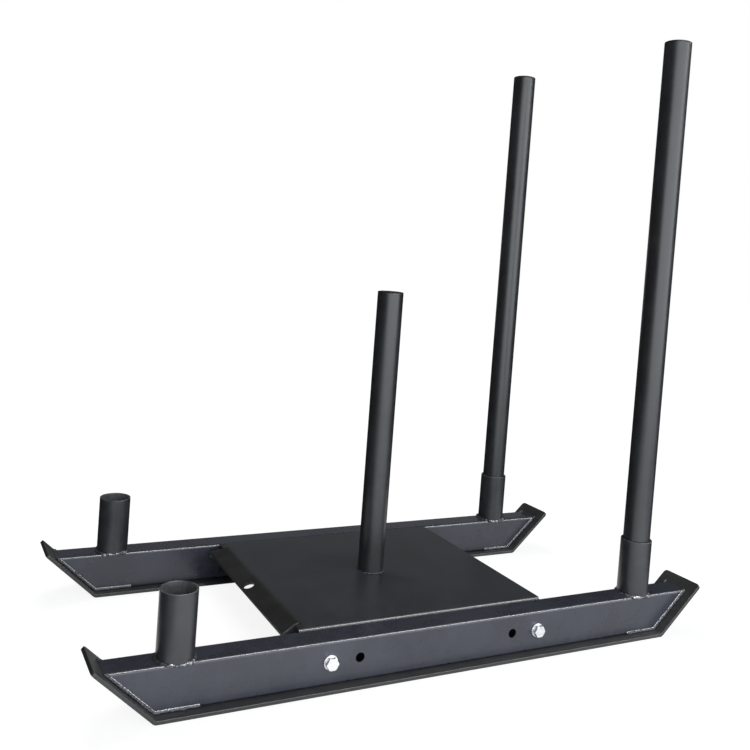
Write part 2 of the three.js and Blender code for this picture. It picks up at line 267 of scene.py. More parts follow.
def makeFlags(flags):
    paint, graph = newPaint("flagCloth")
    graph.surface({"Base Color": (0.02, 0.02, 0.02), "Roughness": 1.0, "Specular IOR Level": 0.0})
    for name, (place, facing, size) in flags.items():
        turn = Vector(facing).to_track_quat("Z", "Y").to_euler()
        bpy.ops.mesh.primitive_plane_add(size=1, location=place, rotation=turn)
        flag = bpy.context.active_object
        flag.name = name
        flag.scale = (size[0], size[1], 1)
        flag.data.materials.append(paint)
        flag.visible_camera = flag.visible_diffuse = flag.visible_shadow = False
        flag.visible_transmission = flag.visible_volume_scatter = False


makeWorld(stageLook)
makeFloor(stageLook)
makeLamps(lampLook)
makeFlags(flagLook)
print("stage and light made")


# finishes

coatLooks = {        # black powder coat, a little different on each piece
    "railCoat": {"dark": (0.037, 0.039, 0.052), "light": (0.049, 0.052, 0.069), "roughness": 0.28},
    "skidCoat": {"dark": (0.020, 0.020, 0.021), "light": (0.032, 0.033, 0.033), "roughness": 0.42},
    "socketCoat": {"dark": (0.020, 0.020, 0.023), "light": (0.031, 0.032, 0.036), "roughness": 0.33},
    "deckCoat": {"dark": (0.029, 0.031, 0.035), "light": (0.039, 0.041, 0.047), "roughness": 0.36},
    "poleCoat": {"dark": (0.016, 0.016, 0.017), "light": (0.025, 0.026, 0.028), "roughness": 0.31},
}

powderLook = {        # what the coats share: each pattern's scale, detail and roughness, and what it does
    "peel": (620, 2, 0.5),        # the orange-peel grain of baked powder
    "cloud": (11, 4, 0.6),
    "patch": (55, 3, 0.6),
    "dust": (900, 2, 0.8),
    "dustSpots": (0.70, 0.80),
    "dustColour": (0.16, 0.16, 0.155),
    "dustShare": 0.25,
    "cloudShare": 0.65,        # in the shade, and the rest is the patches
    "shadeSpan": (0.32, 0.68),
    "cloudGloss": 0.14,
    "patchGloss": 0.06,
    "dustGloss": 0.04,
    "patchHeight": 0.5,
    "bump": (0.15, 0.0001),
}


def powderCoat(name, look, powder=powderLook):
    paint, graph = newPaint(name)
    spot = graph.place()
    patterns = ("peel", "cloud", "patch", "dust")
    peel, cloud, patch, dust = [graph.noise(spot, *powder[pattern]) for pattern in patterns]
    dust = dust.fade(*powder["dustSpots"])
    mottle = (cloud * powder["cloudShare"] + patch * (1 - powder["cloudShare"])).fade(*powder["shadeSpan"])
    shade = graph.mix(mottle, look["dark"], look["light"])
    shade = graph.mix(dust * patch * powder["dustShare"], shade, powder["dustColour"])
    gloss = look["roughness"] + (cloud - 0.5) * powder["cloudGloss"] + (patch - 0.5) * powder["patchGloss"]
    gloss = gloss + dust * powder["dustGloss"]
    grain = graph.bump(peel + patch * powder["patchHeight"], *powder["bump"])
    return paint, graph, spot, shade, gloss, grain


def makeCoat(name, look):
    paint, graph, spot, shade, gloss, grain = powderCoat(name, look)
    graph.surface({"Base Color": shade, "Roughness": gloss, "Normal": grain, "Specular IOR Level": 0.5})
    return paint


skidWear = {
    "sole": (0.0002, 0.0011),        # rubbed below the first height, whole above the second
    "edge": (0.0010, 0.0060),        # the same for the chips in the plate's edge
    "rimInset": (0.0012, 0.0002),        # the worn rim, inwards from the plate's sides
    "tipInset": (0.0044, 0.0029),        # and from its ends
    "steel": (0.20, 0.195, 0.18),
    "rimColour": (0.024, 0.024, 0.023),
    "metal": 0.85,
}


def makeSkidCoat(name, look, surfaceMarks):        # rubbed to steel where it slides, and worn along its edges
    paint, graph, spot, shade, gloss, grain = powderCoat(name, look)
    x, y, z = graph.split(spot)
    low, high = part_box("right_skid_plate")
    streak = graph.noise(graph.stretch(spot, (3, 160, 160)), 1, 5, 0.7)
    chip = graph.noise(spot, 260, 4, 0.75)
    soleRub = z.fade(*surfaceMarks["sole"], 1, 0) * streak.fade(0.50, 0.60)
    rub = soleRub.most(z.fade(*surfaceMarks["edge"], 1, 0) * chip.fade(0.60, 0.66) * 0.6)
    rim = abs(abs(y) - skiMiddle).fade(*[(high.y - low.y) / 2 - inset for inset in surfaceMarks["rimInset"]])
    tip = abs(x).fade(*[high.x - inset for inset in surfaceMarks["tipInset"]])
    shade = graph.mix(rim.most(tip) * (0.55 + chip * 0.5), shade, surfaceMarks["rimColour"])
    graph.surface({
        "Base Color": graph.mix(rub, shade, surfaceMarks["steel"]),
        "Roughness": gloss + rub * (streak - 0.6) * 0.3,
        "Metallic": rub * surfaceMarks["metal"],
        "Normal": grain,
    })
    return paint


socketBoreLightAndRimWear = {
    "boreLightFade": 0.0004,        # how far the painted light inside the bore fades into the wall
    "rimDepth": (0.0010, 0.0004),        # the rubbed rim, down from the socket's top
    # the colour of the painted light on the bore's inner wall
    "boreLightColour": (0.13, 0.135, 0.14),
    "rimColour": (0.16, 0.16, 0.165),
    "rimShare": 0.7,
}


def makeSocketCoat(name, look, surfaceMarks, wall):        # painted light inside the bore, and rubbed on the rim
    paint, graph, spot, shade, gloss, grain = powderCoat(name, look)
    x, y, z = graph.split(spot)
    boxes = [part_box(f"left_{end}_socket") for end in ("front", "rear")]
    low, high = boxes[0]
    bore = (high.x - low.x) / 2 - wall
    across = abs(y) - skiMiddle
    inside = []
    for start, stop in boxes:
        along = x - (start.x + stop.x) / 2
        reach = along * along + across * across
        inside.append(reach.fade(bore ** 2, (bore + surfaceMarks["boreLightFade"]) ** 2, 1, 0))
    # patches for the rubbed rim and for the painted light in the bore
    rub = graph.noise(spot, 120, 3, 0.6).fade(0.35, 0.65)
    rim = z.fade(*[high.z - depth for depth in surfaceMarks["rimDepth"]])
    # painted light on the inner wall of both bores
    shade = graph.mix(inside[0].most(inside[1]) * (0.6 + rub * 0.4), shade, surfaceMarks["boreLightColour"])
    graph.surface({
        "Base Color": graph.mix(rim * rub * surfaceMarks["rimShare"], shade, surfaceMarks["rimColour"]),
        "Roughness": gloss + rim * rub * 0.1,
        "Normal": grain,
    })
    return paint


lipDarkeningAndLight = {
    "darkeningX": (-0.236, -0.222),        # darker in front of the first place, unchanged behind the second
    "sideLightX": (-0.2322, -0.2312),        # the same for the painted light and painted highlight on the sides
    "sideLightFade": (-0.0011, -0.0007),        # where the painted light starts, from the lip's side line inwards
    "sideReach": 0.0012,        # and where it ends, outwards
    "litWebStart": -0.0004,        # the painted light on the webs' outer faces starts here
    "highlightDepth": (-0.0024, -0.0018),        # the painted highlight, down from the lip's top face
    "darkeningColour": (0.014, 0.013, 0.012),
    "litWebColour": (0.085, 0.086, 0.095),
    "edgeHighlightColour": (0.17, 0.17, 0.18),
}


def makeDeckCoat(name, look, surfaceMarks, edge):        # painted light and a painted highlight along the lip's sides, and the lip darker and duller
    paint, graph, spot, shade, gloss, grain = powderCoat(name, look)
    x, y, z = graph.split(spot)
    # patches that break up the painted highlight on the lip's sides
    rub = graph.noise(spot, 160, 3, 0.7).fade(0.25, 0.5)
    lipDarkening = x.fade(*surfaceMarks["darkeningX"], 1, 0) * (0.5 + graph.noise(spot, 24, 3, 0.6).fade(0.3, 0.7) * 0.5)
    shade = graph.mix(lipDarkening, shade, surfaceMarks["darkeningColour"])
    beyond = (edge["bendX"] - x).most(0)
    out = abs(y) - edge["y"] - beyond * edge["flare"]
    # the lip's sides: painted light on the webs' faces and a painted highlight along the side edges
    side = out.fade(*surfaceMarks["sideLightFade"]) * (out < surfaceMarks["sideReach"]) * x.fade(*surfaceMarks["sideLightX"], 1, 0)
    depth = z - edge["topZ"] - (x - edge["bendX"]) * edge["slope"]
    # painted light on the outer faces of the webs
    withLitWeb = graph.mix(side * (out > surfaceMarks["litWebStart"]), shade, surfaceMarks["litWebColour"])
    graph.surface({
        # painted highlight along the top of the lip's side edges
        "Base Color": graph.mix(side * depth.fade(*surfaceMarks["highlightDepth"]) * rub, withLitWeb, surfaceMarks["edgeHighlightColour"]),
        "Roughness": gloss + lipDarkening * 0.06,
        "Normal": grain,
    })
    return paint


weldFinish = {
    "coat": (0.030, 0.031, 0.037),
    "steel": (0.27, 0.27, 0.29),
    "bareSpan": (0.85, 0.1),        # how far the bare share moves the patches' step, and its width
    "skin": 0.001,        # the bare metal fades in over this last stretch before its distance
}


def makeWeldPaint(name, look, bareShare, bareBeyond):        # bare only beyond a distance from the ski's middle
    paint, graph = newPaint(name)
    spot = graph.place()
    x, y, z = graph.split(spot)
    scale = graph.noise(spot, 420, 4, 0.65)
    patch = graph.noise(spot, 110, 3, 0.6)
    step = 1 - bareShare * look["bareSpan"][0]
    beyond = abs(abs(y) - skiMiddle).fade(bareBeyond - look["skin"], bareBeyond)
    bare = patch.fade(step, step + look["bareSpan"][1]) * beyond
    graph.surface({
        "Base Color": graph.mix(bare, look["coat"], look["steel"]),
        "Roughness": 0.56 - bare * 0.10 + (scale - 0.5) * 0.2,
        "Metallic": bare * 0.7,
        "Normal": graph.bump(scale, 0.5, 0.0003),
    })
    return paint


zincLook = {"dark": (0.62, 0.64, 0.68), "light": (0.80, 0.80, 0.79), "roughness": 0.36, "metal": 0.75}


def makeZinc(look):
    paint, graph = newPaint("zincPlate")
    spot = graph.place()
    spangle = graph.noise(spot, 240, 2, 0.5)
    scuff = graph.noise(graph.stretch(spot, (900, 900, 140)), 1, 3, 0.6)
    graph.surface({
        "Base Color": graph.mix(spangle.fade(0.35, 0.65), look["dark"], look["light"]),
        "Roughness": look["roughness"] + (scuff - 0.5) * 0.16 + (spangle - 0.5) * 0.08,
        "Metallic": look["metal"],
        "Normal": graph.bump(scuff, 0.15, 0.0001),
    })
    return paint


plasticLook = {
    "dark": (0.009, 0.009, 0.010),
    "light": (0.015, 0.015, 0.016),
    "roughness": 0.66,
    "specular": 0.2,
}


def makeCapPlastic(look):
    paint, graph = newPaint("capPlastic")
    spot = graph.place()
    leather = graph.add("ShaderNodeTexVoronoi", {"feature": "F1"}, {"Vector": spot, "Scale": 900})
    cloud = graph.noise(spot, 70, 3, 0.6)
    graph.surface({
        "Base Color": graph.mix(cloud.fade(0.35, 0.65), look["dark"], look["light"]),
        "Roughness": look["roughness"] + (cloud - 0.5) * 0.16,
        "Specular IOR Level": look["specular"],
        "Normal": graph.bump(leather, 0.3, 0.0001),
    })
    return paint


tubeWalls = {"socket": 0.003, "push_pole": 0.0025, "weight_post": 0.003}

railCoat = makeCoat("railCoat", coatLooks["railCoat"])
socketCoat = makeSocketCoat("socketCoat", coatLooks["socketCoat"], socketBoreLightAndRimWear, tubeWalls["socket"])
poleCoat = makeCoat("poleCoat", coatLooks["poleCoat"])
skidCoat = makeSkidCoat("skidCoat", coatLooks["skidCoat"], skidWear)
bareWeld = makeWeldPaint("bareWeld", weldFinish, bareShare=0.78, bareBeyond=0)
coatedWeld = makeWeldPaint("coatedWeld", weldFinish, bareShare=0, bareBeyond=0)
socketFootWeld = makeWeldPaint("socketFootWeld", weldFinish, bareShare=0.62, bareBeyond=0.0225)
zincPlate = makeZinc(zincLook)
capPlastic = makeCapPlastic(plasticLook)
print("finishes made")


# modelling helpers

def namePiece(name):        # a fresh primitive, with its place moved into its mesh
    piece = bpy.context.active_object
    piece.name = piece.data.name = name
    bpy.ops.object.transform_apply(location=True, rotation=True, scale=True)
    return piece


def addBlock(name, low, high):
    deselectAll()
    middle = [(a + b) / 2 for a, b in zip(low, high)]
    bpy.ops.mesh.primitive_cube_add(size=1, location=middle, scale=[b - a for a, b in zip(low, high)])
    return namePiece(name)


def addRound(name, radius, low, high, sides):        # a cylinder between two points
    deselectAll()
    along = Vector(high) - Vector(low)
    turn = along.to_track_quat("Z", "Y").to_euler()
    bpy.ops.mesh.primitive_cylinder_add(vertices=sides, radius=radius, depth=along.length,
                                        location=(Vector(low) + Vector(high)) / 2, rotation=turn)
    return namePiece(name)


def openPiece(piece, mode):
    deselectAll()
    piece.select_set(True)
    bpy.context.view_layer.objects.active = piece
    bpy.ops.object.mode_set(mode="EDIT")
    bpy.ops.mesh.select_mode(type=mode)
    bpy.ops.mesh.select_all(action="DESELECT")


def pickFaces(piece, wanted):
    openPiece(piece, "FACE")
    bpy.ops.object.mode_set(mode="OBJECT")
    for face in piece.data.polygons:
        face.select = wanted(face.center, face.normal)
    bpy.ops.object.mode_set(mode="EDIT")


def pickEdges(piece, wanted):
    openPiece(piece, "EDGE")
    bpy.ops.object.mode_set(mode="OBJECT")
    points = piece.data.vertices
    for edge in piece.data.edges:
        edge.select = wanted(points[edge.vertices[0]].co, points[edge.vertices[1]].co)
    bpy.ops.object.mode_set(mode="EDIT")


def pickAll(piece):
    openPiece(piece, "FACE")
    bpy.ops.mesh.select_all(action="SELECT")


def closePiece():
    bpy.ops.object.mode_set(mode="OBJECT")


def tidyFaces(piece, merge=0.00001):
    pickAll(piece)
    bpy.ops.mesh.remove_doubles(threshold=merge)
    bpy.ops.mesh.normals_make_consistent(inside=False)
    closePiece()


def extrudeBy(move):
    bpy.ops.mesh.extrude_region_move(TRANSFORM_OT_translate={"value": move})


def applyModifier(piece, kind, settings):
    deselectAll()
    piece.select_set(True)
    bpy.context.view_layer.objects.active = piece
    modifier = piece.modifiers.new(kind.lower(), kind)
    for name, value in settings.items():
        setattr(modifier, name, value)
    bpy.ops.object.modifier_apply(modifier=modifier.name)


def cutWith(piece, cutter, operation="DIFFERENCE"):
    applyModifier(piece, "BOOLEAN", {"object": cutter, "operation": operation, "solver": "EXACT"})
    bpy.data.objects.remove(cutter, do_unlink=True)


def joinPieces(name, parts):
    deselectAll()
    for part in parts:
        part.select_set(True)
    bpy.context.view_layer.objects.active = parts[0]
    if len(parts) > 1:
        bpy.ops.object.join()
    parts[0].name = parts[0].data.name = name
    return parts[0]


def softenEdges(piece, width, segments=2, angle=40):
    applyModifier(piece, "BEVEL", {"width": width, "segments": segments, "limit_method": "ANGLE",
                                   "angle_limit": math.radians(angle), "harden_normals": False,
                                   "use_clamp_overlap": True})


def finishPiece(piece, paint, body, nodes=(), smooth=32):
    deselectAll()
    piece.select_set(True)
    bpy.context.view_layer.objects.active = piece
    bpy.ops.object.shade_smooth_by_angle(angle=math.radians(smooth))
    if smooth < 80:        # keeps long faces true beside their rounded edges
        applyModifier(piece, "WEIGHTED_NORMAL", {"keep_sharp": True, "weight": 100})
    piece.data.materials.clear()
    piece.data.materials.append(paint)
    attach(piece, body)
    if nodes:
        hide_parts(*nodes)
    return piece


def copyPiece(piece, name):        # a copy with its own mesh
    twin = piece.copy()
    twin.data = piece.data.copy()
    twin.name = twin.data.name = name
    bpy.context.scene.collection.objects.link(twin)
    return twin


# round tubes

tubeLook = {"sides": 128, "rim": 0.0007, "rimSegments": 3}


def buildTube(name, node, wall, paint, body):
    low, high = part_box(node)
    radius = (high.x - low.x) / 2
    middle = (low + high) / 2
    foot, head = Vector((middle.x, middle.y, low.z)), Vector((middle.x, middle.y, high.z))
    tube = addRound(name, radius, foot, head, tubeLook["sides"])
    pickFaces(tube, lambda centre, normal: abs(normal.z) > 0.9)
    bpy.ops.mesh.inset(thickness=wall)
    bpy.ops.mesh.bridge_edge_loops()        # opens the bore from end to end
    closePiece()

    def onRim(a, b):
        flat = abs(a.z - b.z) < 1e-6 and min(abs(a.z - low.z), abs(a.z - high.z)) < 1e-6
        reaches = [(point - middle).to_2d().length for point in (a, b)]
        return flat and abs(reaches[0] - reaches[1]) < 1e-6

    pickEdges(tube, onRim)
    bpy.ops.mesh.bevel(offset=tubeLook["rim"], segments=tubeLook["rimSegments"], affect="EDGES")
    closePiece()
    tidyFaces(tube)
    return finishPiece(tube, paint, body, [node])


for side in skis:
    for end in ("front", "rear"):
        buildTube(f"{side}{end.title()}SocketTube", f"{side}_{end}_socket", tubeWalls["socket"],
                  socketCoat, "sled")
    buildTube(f"{side}PoleTube", f"{side}_push_pole", tubeWalls["push_pole"],
              poleCoat, f"{side}_pole")
buildTube("weightPostTube", "weight_post", tubeWalls["weight_post"], poleCoat, "sled")
print("sockets, poles and post made")


# end caps

capLook = {
    "sides": 128,
    "seatGap": 0.0003,        # between the tube's end and the cap's head
    "band": 0.0010,        # the upright edge of the head
    "shoulder": 0.013,        # how far inwards the dome's arc runs
    "steps": 8,
    "pip": 0.004,        # the moulding mark, inwards from the end of the arc
    "pipDepth": 0.0003,
    "plugInset": 0.0035,
}


def buildCap(name, node, tubeNode, body):
    low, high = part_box(node)
    middle = (low + high) / 2
    radius = (high.x - low.x) / 2
    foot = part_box(tubeNode)[1].z + capLook["seatGap"]
    brow = foot + capLook["band"]
    cap = addRound(name, radius, (middle.x, middle.y, foot), (middle.x, middle.y, brow), capLook["sides"])
    pickFaces(cap, lambda centre, normal: normal.z > 0.99)
    inward = upward = 0
    for step in range(1, capLook["steps"] + 1):        # the shoulder, an arc in small insets
        turn = math.pi / 2 * step / capLook["steps"]
        further, higher = capLook["shoulder"] * (1 - math.cos(turn)), (high.z - brow) * math.sin(turn)
        bpy.ops.mesh.inset(thickness=further - inward)
        bpy.ops.transform.translate(value=(0, 0, higher - upward))
        inward, upward = further, higher
    bpy.ops.mesh.inset(thickness=capLook["pip"])        # the moulding mark in the middle
    bpy.ops.transform.translate(value=(0, 0, -capLook["pipDepth"]))
    closePiece()
    pickFaces(cap, lambda centre, normal: normal.z < -0.9)
    bpy.ops.mesh.inset(thickness=capLook["plugInset"])
    extrudeBy((0, 0, -(foot - low.z)))
    closePiece()
    return finishPiece(cap, capPlastic, body, [node], smooth=40)


for side in skis:
    buildCap(f"{side}PolePlug", f"{side}_pole_cap", f"{side}_push_pole", f"{side}_pole")
buildCap("weightPostPlug", "weight_post_cap", "weight_post", "sled")
print("end caps made")


# rails

railLook = {
    "corner": 0.005,
    "cornerSegments": 8,
    "wall": 0.003,
    "boreCorner": 0.0022,
    "boreSegments": 4,
    "holeRadius": 0.008,
    "holeXs": (-0.206, -0.153, 0.147, 0.200),
    "holeZ": 0.043,
    "holeSides": 48,
    "breakEdge": 0.0003,
}
cutOverrun = 0.01        # how far a drill passes each side of what it cuts
boreOverrun = 0.05        # and the bore each end of the rail
mitre = math.radians(43)
slope = Vector((math.cos(mitre), 0, math.sin(mitre)))        # along the rear mitre, upwards


def drillsAlongY(name, look, low, high):
    start, stop = low - cutOverrun, high + cutOverrun
    drills = []
    for index, x in enumerate(look["holeXs"]):
        ends = (x, start, look["holeZ"]), (x, stop, look["holeZ"])
        drills.append(addRound(f"{name}{index}", look["holeRadius"], *ends, look["holeSides"]))
    return joinPieces(name, drills)


def roundedBar(name, low, high, corner, segments):
    bar = addBlock(name, low, high)
    pickEdges(bar, lambda a, b: abs(a.x - b.x) > 0.1)
    bpy.ops.mesh.bevel(offset=corner, segments=segments, affect="EDGES")
    closePiece()
    return bar


def buildRail(side, look):
    node = f"{side}_rail"
    low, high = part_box(node)
    rail = roundedBar(f"{side}RailTube", low, high, look["corner"], look["cornerSegments"])
    for way in (-1, 1):
        pickAll(rail)
        bpy.ops.mesh.bisect(plane_co=(way * high.x, 0, high.z), plane_no=(way * slope.z, 0, -slope.x),
                            use_fill=True, clear_outer=True)
        closePiece()
    wall = Vector((-boreOverrun, look["wall"], look["wall"]))
    cutWith(rail, roundedBar("railBore", low + wall, high - wall, look["boreCorner"], look["boreSegments"]))
    cutWith(rail, drillsAlongY("railDrill", look, low.y, high.y))
    tidyFaces(rail)
    softenEdges(rail, look["breakEdge"])
    return finishPiece(rail, railCoat, "sled", [node])


for side in skis:
    buildRail(side, railLook)
print("rails made")


# skid plates

skidLook = {
    "thickness": 0.006,
    "bendRadius": 0.010,
    "bendSteps": 10,
    "railGap": 0.0003,
    "tipCorner": 0.007,
    "tipReach": 0.0055,        # the ends' upright edges lie this close to the plate's furthest point
    "tipSegments": 6,
    "breakEdge": 0.0008,
    "breakSegments": 3,
}


def buildSkid(side, look):
    node = f"{side}_skid_plate"
    low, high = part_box(node)
    thick, radius = look["thickness"], look["bendRadius"]
    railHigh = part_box(f"{side}_rail")[1]
    railFoot = railHigh.x + look["railGap"] / slope.z - (railHigh.z - thick) / math.tan(mitre)
    bendX = railFoot + (thick - radius) * math.tan(mitre / 2)
    skid = addBlock(f"{side}SkidSheet", (-bendX, low.y, 0), (bendX, high.y, thick))
    for way in (-1, 1):
        pickFaces(skid, lambda centre, normal: normal.x * way > 0.9)
        bpy.ops.mesh.spin(steps=look["bendSteps"], angle=mitre * way, axis=(0, 1, 0),
                          center=(way * bendX, (low.y + high.y) / 2, radius))
        reach = (high.x - bendX - radius * slope.z) / slope.x
        extrudeBy((way * slope.x * reach, 0, slope.z * reach))
        closePiece()
    tidyFaces(skid)
    tipX = high.x - look["tipReach"]
    pickEdges(skid, lambda a, b: abs(a.y - b.y) < 1e-6 and min(abs(a.x), abs(b.x)) > tipX)
    bpy.ops.mesh.bevel(offset=look["tipCorner"], segments=look["tipSegments"], affect="EDGES")
    closePiece()
    softenEdges(skid, look["breakEdge"], look["breakSegments"])
    return finishPiece(skid, skidCoat, "sled", [node])


for side in skis:
    buildSkid(side, skidLook)
print("skid plates made")


# deck

deckLook = {
    "thickness": 0.004,
    "bend": 0.006,        # outer radius along the flanges
    "bendSteps": 8,
    "lipBendX": -0.229,        # where the lip starts to bend down
    "lipBend": 0.030,
    "lipSteps": 8,
    "lipLength": 0.0272,
    "lipAngle": 18,
    "lipHalf": 0.1887,
    "lipFlare": 0.011,
    "webStart": 0.002,        # the webs' first step down, before they are drawn level
    "webFoot": 0.058,        # the height down to which the webs under the lip's sides reach
    "slotHalf": 0.1937,
    "notchDepth": 0.012,        # how far the corners beside the lip reach forward
    "towRadius": 0.010,
    "towInset": 0.013,
    "towReach": 0.012,        # of the drill, both ways from the lip's face
    "towSides": 64,
    "breakEdge": 0.0004,
}


def lipLines(look):        # how the lip's straight part lies: its side line and its top face
    tilt = math.radians(look["lipAngle"])
    return {
        "y": look["lipHalf"],
        "bendX": look["lipBendX"] - look["lipBend"] * math.sin(tilt),
        "topZ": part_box("deck_plate")[1].z - look["lipBend"] * (1 - math.cos(tilt)),
        "slope": math.tan(tilt),
        "flare": look["lipFlare"] / (look["lipLength"] * math.cos(tilt)),
    }


deckCoat = makeDeckCoat("deckCoat", coatLooks["deckCoat"], lipDarkeningAndLight, lipLines(deckLook))


def buildDeck(look):
    low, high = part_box("deck_plate")
    flat = high.y - look["bend"]
    deselectAll()
    bpy.ops.mesh.primitive_plane_add(size=1, location=((look["lipBendX"] + high.x) / 2, 0, high.z))
    sheet = bpy.context.active_object
    sheet.scale = (high.x - look["lipBendX"], 2 * flat, 1)
    sheet = namePiece("deckSheet")
    for y in (-look["slotHalf"], -look["lipHalf"], look["lipHalf"], look["slotHalf"]):
        pickAll(sheet)
        bpy.ops.mesh.bisect(plane_co=(0, y, 0), plane_no=(0, 1, 0))
        closePiece()
    for way in (-1, 1):        # a flange down each side
        pickEdges(sheet, lambda a, b: min(a.y * way, b.y * way) > flat - 1e-5 and abs(a.x - b.x) > 0.1)
        bpy.ops.mesh.spin(steps=look["bendSteps"], angle=math.radians(90 * way), axis=(1, 0, 0),
                          center=(0, way * flat, high.z - look["bend"]))
        extrudeBy((0, 0, low.z - high.z + look["bend"]))
        closePiece()
    front = look["lipBendX"] + 1e-5
    slotSide, lipSide = look["slotHalf"] - 1e-5, look["lipHalf"] + 1e-5
    pickEdges(sheet, lambda a, b: max(a.x, b.x) < front and min(abs(a.y), abs(b.y)) > slotSide)
    extrudeBy((-look["notchDepth"], 0, 0))
    closePiece()
    tilt = math.radians(look["lipAngle"])
    along = Vector((math.cos(tilt), 0, math.sin(tilt)))        # up the lip, towards the deck
    pickEdges(sheet, lambda a, b: max(a.x, b.x) < front and max(abs(a.y), abs(b.y)) < lipSide)
    bpy.ops.mesh.spin(steps=look["lipSteps"], angle=tilt, axis=(0, 1, 0),
                      center=(look["lipBendX"], 0, high.z - look["lipBend"]))
    extrudeBy(-along * look["lipLength"])
    bpy.ops.transform.resize(value=(1, 1 + look["lipFlare"] / look["lipHalf"], 1), center_override=(0, 0, 0))
    closePiece()

    def onLipSide(a, b):
        bent = min(a.z, b.z) < high.z - 1e-6 and max(a.x, b.x) < front and abs(a.x - b.x) > 1e-6
        inner, outer = sorted((abs(a.y), abs(b.y)))
        return bent and inner > look["lipHalf"] - 1e-5 and outer < flat - 0.005

    pickEdges(sheet, onLipSide)        # a web under each side of the lip
    extrudeBy((0, 0, -look["webStart"]))
    bpy.ops.transform.resize(value=(1, 1, 0), center_override=(0, 0, look["webFoot"]))
    closePiece()
    tidyFaces(sheet)
    if max(sheet.data.polygons, key=lambda face: face.area).normal.z < 0:
        pickAll(sheet)
        bpy.ops.mesh.flip_normals()
        closePiece()
    applyModifier(sheet, "SOLIDIFY", {"thickness": look["thickness"], "offset": -1, "use_even_offset": True})
    lip = lipLines(look)
    bendEnd = Vector((lip["bendX"], 0, lip["topZ"]))
    hole = bendEnd - along * (look["lipLength"] - look["towInset"])
    square = Vector((-along.z, 0, along.x)) * look["towReach"]
    cutWith(sheet, addRound("towDrill", look["towRadius"], hole - square, hole + square, look["towSides"]))
    cutWith(sheet, drillsAlongY("flangeDrill", railLook, low.y, high.y))
    tidyFaces(sheet)
    softenEdges(sheet, look["breakEdge"])
    return finishPiece(sheet, deckCoat, "sled", ["deck_plate"])


buildDeck(deckLook)
print("deck made")


# bolts

hexLook = {
    "flats": 0.019,
    "turnedShare": 1.02,        # the turning disc's radius, as a share of the hexagon's corner
    "turnedSides": 72,
    "chamfer": 0.00176,
    "chamferSegments": 4,
    "breakEdge": 0.0003,
    "breakSegments": 2,
    "breakAngle": 50,
}
boltLook = {
    "head": 0.008,
    "headOverlap": 0.001,        # of the shank inside the head
    "shank": 0.006,
    "shankSides": 48,
    "threadEnd": 0.0045,        # the threads that stand out past the nut
    "pitch": 0.0015,
    "threadDepth": 0.0007,
}


def hexBlank(name, centre, low, high, look):        # a hexagon along Y with its corners turned off
    corner = look["flats"] / math.sqrt(3)
    ends = (centre.x, low, centre.z), (centre.x, high, centre.z)
    blank = addRound(name, corner, *ends, 6)
    pickAll(blank)
    bpy.ops.transform.rotate(value=math.radians(30), orient_axis="Y", center_override=centre)
    closePiece()
    disc = addRound(f"{name}Turned", corner * look["turnedShare"], *ends, look["turnedSides"])
    pickEdges(disc, lambda a, b: abs(a.y - b.y) < 1e-6)
    bpy.ops.mesh.bevel(offset=look["chamfer"], segments=look["chamferSegments"], profile=0.5, affect="EDGES")
    closePiece()
    cutWith(blank, disc, "INTERSECT")
    return blank


def finishFastener(piece, node):
    softenEdges(piece, hexLook["breakEdge"], hexLook["breakSegments"], hexLook["breakAngle"])
    return finishPiece(piece, zincPlate, "sled", [node], smooth=28)


def buildBolt(side, end, look):
    node = f"{side}_{end}_bolt"
    way = skis[side]
    low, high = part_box(node)
    centre = (low + high) / 2
    outer, tail = (high.y, low.y) if way > 0 else (low.y, high.y)
    headSeat = outer - way * look["head"]
    name = f"{side}{end.title()}Bolt"
    head = hexBlank(name, centre, min(outer, headSeat), max(outer, headSeat), hexLook)
    shankStart = (centre.x, headSeat + way * look["headOverlap"], centre.z)
    threadStart = (centre.x, tail + way * look["threadEnd"], centre.z)
    shank = addRound(f"{name}Shank", look["shank"], shankStart, threadStart, look["shankSides"])
    pickFaces(shank, lambda spot, normal: normal.y * -way > 0.9)
    root = 1 - look["threadDepth"] / look["shank"]
    turns = round(look["threadEnd"] / look["pitch"])
    halfPitch = (0, -way * look["pitch"] / 2, 0)
    for width in ([root, 1 / root] * turns)[:-1]:        # root and crest, and the end stays at its root
        extrudeBy(halfPitch)
        bpy.ops.transform.resize(value=(width, 1, width), center_override=centre)
    extrudeBy(halfPitch)
    closePiece()
    return finishFastener(joinPieces(name, [head, shank]), node)


for side in skis:
    for end in ("front", "rear"):
        buildBolt(side, end, boltLook)
print("bolts made")


# washers and nuts

washerLook = {"hole": 0.0065, "sides": 64, "breakEdge": 0.0004, "breakSegments": 2, "breakAngle": 60}
nutLook = {"bore": 0.0063, "boreSides": 48}


def buildWasher(side, end, place, look):
    node = f"{side}_{end}_{place}_washer"
    low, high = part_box(node)
    centre = (low + high) / 2
    radius = (high.x - low.x) / 2
    ring = addRound(f"{side}{end.title()}{place.title()}WasherRing", radius, (centre.x, low.y, centre.z),
                    (centre.x, high.y, centre.z), look["sides"])
    pickFaces(ring, lambda spot, normal: abs(normal.y) > 0.9)
    bpy.ops.mesh.inset(thickness=radius - look["hole"])
    bpy.ops.mesh.bridge_edge_loops()
    closePiece()
    tidyFaces(ring)
    softenEdges(ring, look["breakEdge"], look["breakSegments"], look["breakAngle"])
    return finishPiece(ring, zincPlate, "sled", [node])


def buildNut(side, end, look):
    node = f"{side}_{end}_nut"
    low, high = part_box(node)
    centre = (low + high) / 2
    nut = hexBlank(f"{side}{end.title()}HexNut", centre, low.y, high.y, hexLook)
    cutWith(nut, addRound("nutBore", look["bore"], (centre.x, low.y - cutOverrun, centre.z),
                          (centre.x, high.y + cutOverrun, centre.z), look["boreSides"]))
    tidyFaces(nut)
    return finishFastener(nut, node)


for side in skis:
    for end in ("front", "rear"):
        for place in ("head", "nut"):
            buildWasher(side, end, place, washerLook)
        buildNut(side, end, nutLook)
print("washers and nuts made")


# welds

